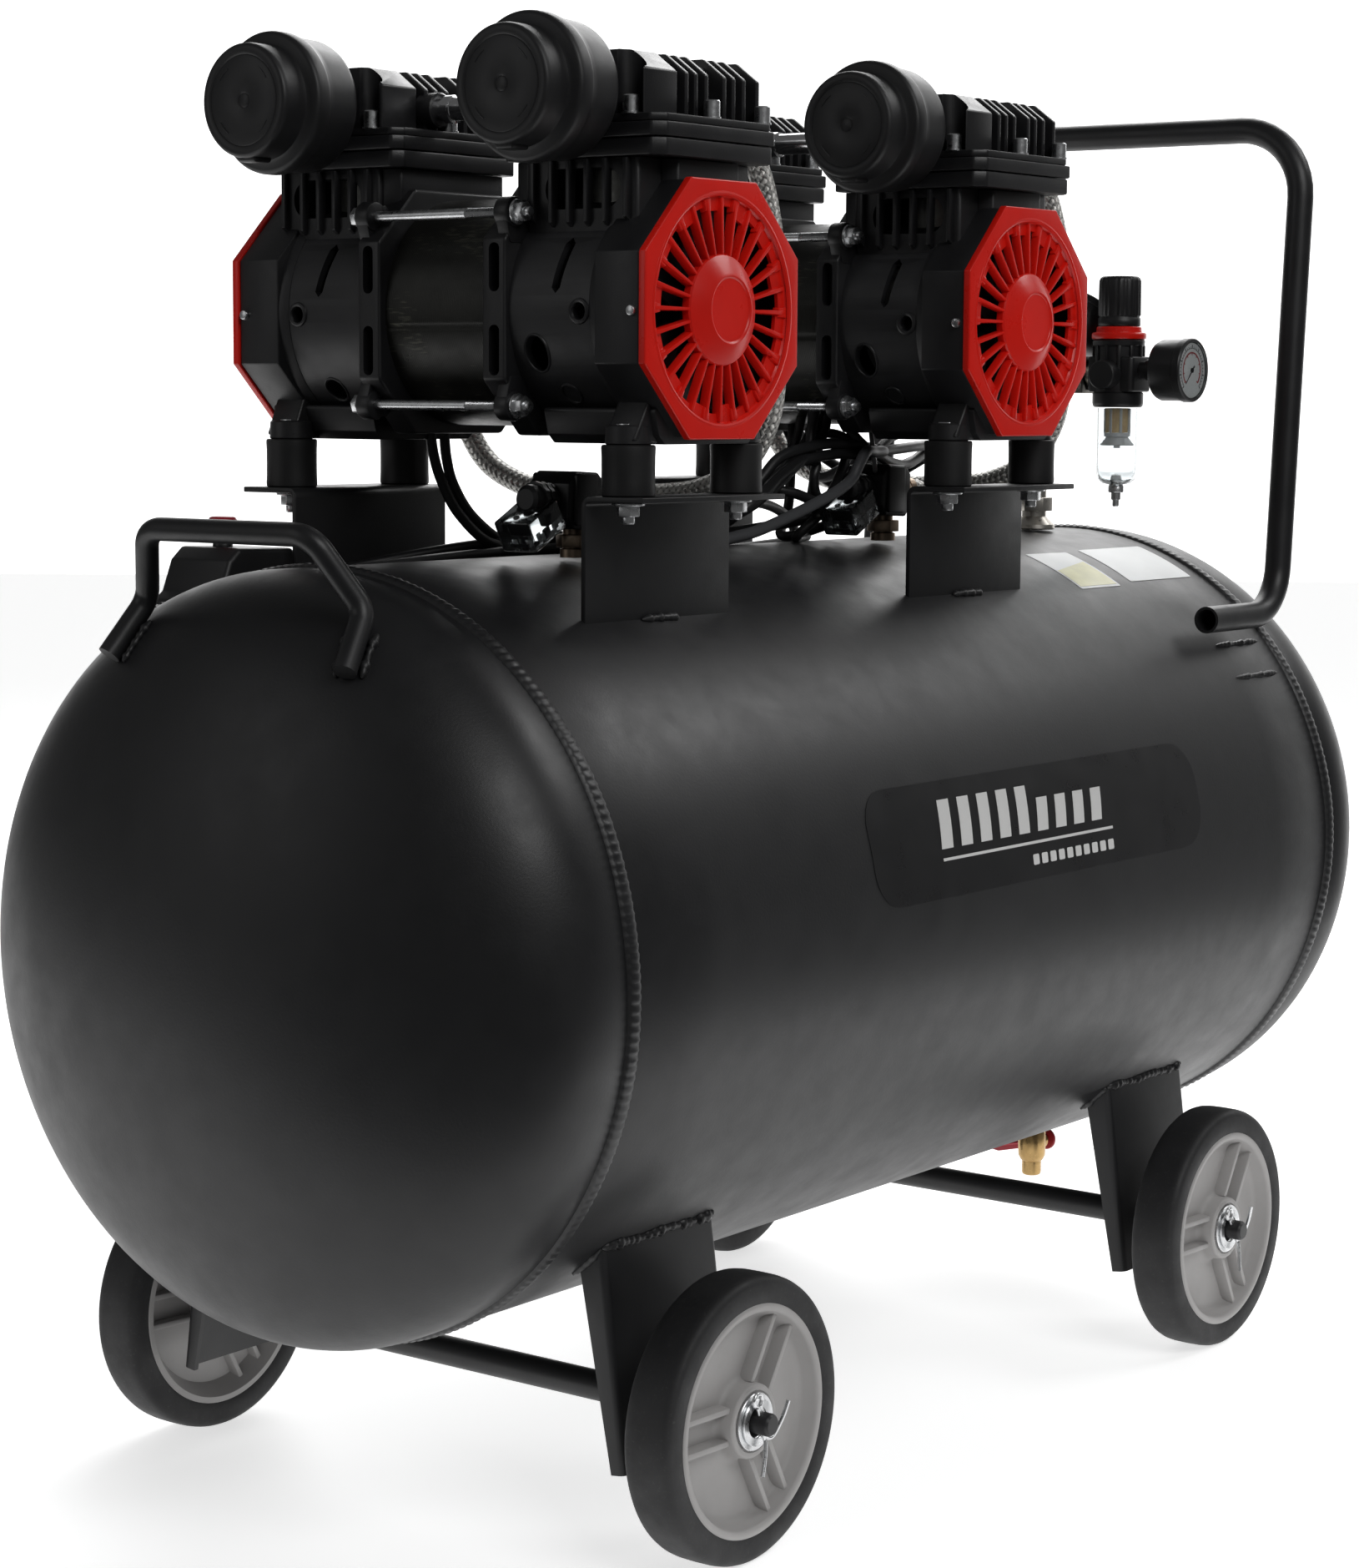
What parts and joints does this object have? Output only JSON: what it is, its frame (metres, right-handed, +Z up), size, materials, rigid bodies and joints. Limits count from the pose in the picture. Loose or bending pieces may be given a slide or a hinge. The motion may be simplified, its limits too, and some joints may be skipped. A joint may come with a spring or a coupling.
{
  "type": "wheeled air compressor",
  "caption": "Horizontal black air receiver on wheeled legs with push and lifting handles, carrying transverse oil-free twin-cylinder pumps with red fan covers, a regulator and a drain valve.",
  "frame": {"origin": "on the ground under the middle of the machine's bounding box", "axes": "+Z up, +X along the receiver from the lifting handle to the push handle, +Y across it away from the filter regulator's gauge"},
  "size_m": [0.97, 0.428, 0.7844],
  "materials": {
    "powder_coat": "satin black powder coat with a fine orange peel",
    "cast_housing": "satin black paint on die castings",
    "red_cover": "glossy red",
    "black_plastic": "satin black moulded plastic",
    "tyre_rubber": "dull black rubber",
    "hub_plastic": "mid grey moulded plastic",
    "mount_rubber": "dull black rubber",
    "motor_laminations": "stacked electrical steel with dark olive varnish and scratches",
    "zinc_steel": "bright zinc plate",
    "chrome_tube": "bright chrome",
    "nickel_fittings": "satin nickel plate",
    "brass_fittings": "turned brass",
    "steel_braid": "braided stainless wire",
    "lever_vinyl": "dipped red vinyl",
    "clear_bowl": "clear polycarbonate",
    "cable_sheath": "soft black cable sheath",
    "white_print": "white printed film"
  },
  "bodies": {
    "root": {"air_tank": "powder_coat", "leg_front_right": "powder_coat", "leg_front_left": "powder_coat", "leg_rear_right": "powder_coat", "leg_rear_left": "powder_coat", "axle_front": "powder_coat", "axle_rear": "powder_coat", "push_handle": "powder_coat", "lifting_handle": "powder_coat", "pump_bracket_1_right": "powder_coat", "rubber_mount_1_right_front": "mount_rubber", "rubber_mount_1_right_rear": "mount_rubber", "pump_bracket_1_left": "powder_coat", "rubber_mount_1_left_front": "mount_rubber", "rubber_mount_1_left_rear": "mount_rubber", "pump_bracket_2_right": "powder_coat", "rubber_mount_2_right_front": "mount_rubber", "rubber_mount_2_right_rear": "mount_rubber", "pump_bracket_2_left": "powder_coat", "rubber_mount_2_left_front": "mount_rubber", "rubber_mount_2_left_rear": "mount_rubber", "crankcase_1_right": "cast_housing", "cylinder_head_1_right": "cast_housing", "fan_cover_1_right": "red_cover", "intake_filter_1_right": "black_plastic", "crankcase_1_left": "cast_housing", "cylinder_head_1_left": "cast_housing", "fan_cover_1_left": "red_cover", "intake_filter_1_left": "black_plastic", "stator_1": "motor_laminations", "cross_tube_1": "chrome_tube", "delivery_hose_1": "steel_braid", "unloader_valve_1": "black_plastic", "crankcase_2_right": "cast_housing", "cylinder_head_2_right": "cast_housing", "fan_cover_2_right": "red_cover", "intake_filter_2_right": "black_plastic", "crankcase_2_left": "cast_housing", "cylinder_head_2_left": "cast_housing", "fan_cover_2_left": "red_cover", "intake_filter_2_left": "black_plastic", "stator_2": "motor_laminations", "cross_tube_2": "chrome_tube", "delivery_hose_2": "steel_braid", "unloader_valve_2": "black_plastic", "outlet_manifold": "nickel_fittings", "regulator_body": "black_plastic", "filter_bowl": "clear_bowl", "outlet_gauge": "black_plastic", "drain_valve_body": "brass_fittings", "pressure_switch": "black_plastic"},
    "drain_valve_lever": {"drain_valve_lever": "lever_vinyl"},
    "pressure_switch_knob": {"pressure_switch_knob": "lever_vinyl"},
    "regulator_knob": {"regulator_knob": "black_plastic"},
    "rotor_1": {"rotor_1": "zinc_steel"},
    "rotor_2": {"rotor_2": "zinc_steel"},
    "wheel_front_left": {"wheel_front_left": "tyre_rubber"},
    "wheel_front_right": {"wheel_front_right": "tyre_rubber"},
    "wheel_rear_left": {"wheel_rear_left": "tyre_rubber"},
    "wheel_rear_right": {"wheel_rear_right": "tyre_rubber"}
  },
  "joints": [
    {"name": "wheel_front_right_spin", "type": "hinge", "parent": "root", "child": "wheel_front_right", "pos_m": [-0.272, -0.1885, 0.07506], "axis": [0, 1, 0], "continuous": true},
    {"name": "wheel_front_left_spin", "type": "hinge", "parent": "root", "child": "wheel_front_left", "pos_m": [-0.272, 0.1885, 0.07506], "axis": [0, 1, 0], "continuous": true},
    {"name": "wheel_rear_right_spin", "type": "hinge", "parent": "root", "child": "wheel_rear_right", "pos_m": [0.238, -0.1885, 0.07506], "axis": [0, 1, 0], "continuous": true},
    {"name": "wheel_rear_left_spin", "type": "hinge", "parent": "root", "child": "wheel_rear_left", "pos_m": [0.238, 0.1885, 0.07506], "axis": [0, 1, 0], "continuous": true},
    {"name": "rotor_1_spin", "type": "hinge", "parent": "root", "child": "rotor_1", "pos_m": [-0.225, 0, 0.6385], "axis": [0, 1, 0], "continuous": true},
    {"name": "rotor_2_spin", "type": "hinge", "parent": "root", "child": "rotor_2", "pos_m": [0.077, 0, 0.6385], "axis": [0, 1, 0], "continuous": true},
    {"name": "regulator_knob_turn", "type": "hinge", "parent": "root", "child": "regulator_knob", "pos_m": [0.31, -0.07, 0.655], "axis": [0, 0, 1], "range_deg": [-720, 720]},
    {"name": "drain_valve_lever_turn", "type": "hinge", "parent": "root", "child": "drain_valve_lever", "pos_m": [0.336, 0, 0.084], "axis": [1, 0, 0], "range_deg": [-90, 0]},
    {"name": "pressure_switch_knob_pull", "type": "slide", "parent": "root", "child": "pressure_switch_knob", "axis": [0, 0, 1], "range_m": [0, 0.006]}
  ]
}
